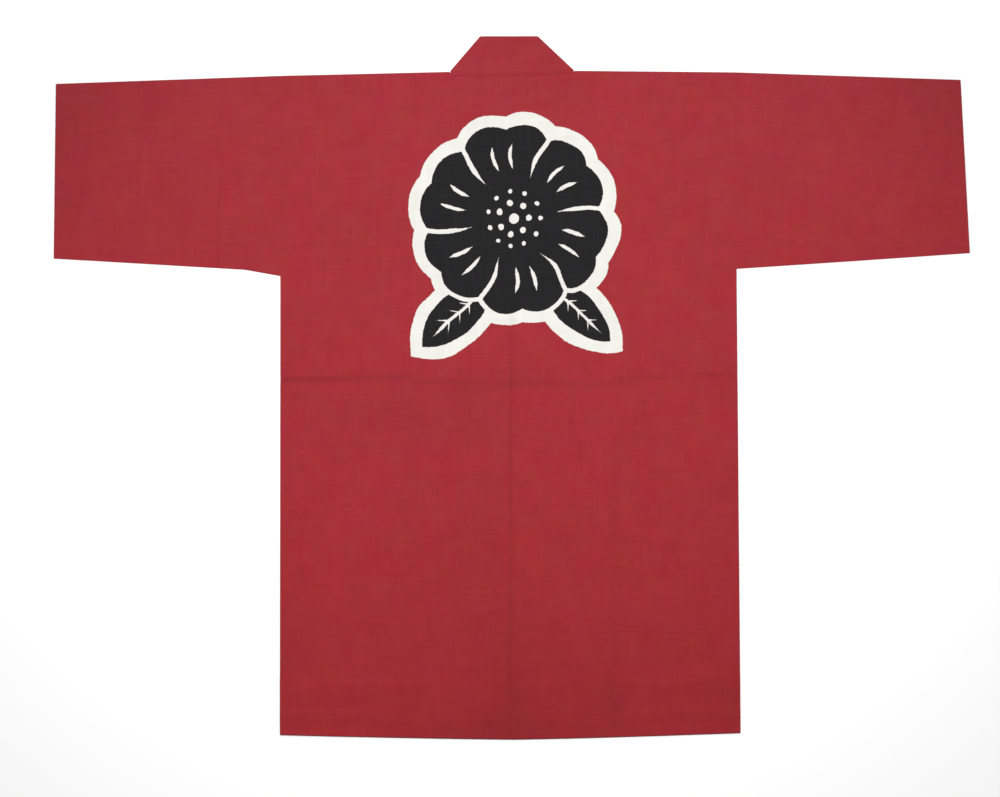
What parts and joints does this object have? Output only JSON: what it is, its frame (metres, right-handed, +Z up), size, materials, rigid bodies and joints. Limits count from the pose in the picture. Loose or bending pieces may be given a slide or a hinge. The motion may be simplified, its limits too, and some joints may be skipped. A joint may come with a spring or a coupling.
{
  "type": "happi coat",
  "caption": "Red cotton happi coat laid flat with its back up, with straight open sleeves, a collar band down both front edges and a large black and white flower on the back.",
  "frame": {"origin": "on the surface under the middle of the coat, at the centre of the bottom of its box", "axes": "+X across the coat from the wearer's left sleeve to the right one, +Y from the hem to the collar, +Z up from the surface, out of the coat's back"},
  "size_m": [1.236, 0.949, 0.0025],
  "materials": {
    "red_cotton": "plain woven cotton, matt, with a faint slub",
    "collar_cotton": "plain woven cotton, matt, two layers"
  },
  "bodies": {
    "root": {"left_back": "red_cotton", "right_back": "red_cotton", "left_front": "red_cotton", "right_front": "red_cotton", "left_sleeve": "red_cotton", "right_sleeve": "red_cotton", "collar": "collar_cotton"}
  },
  "joints": []
}
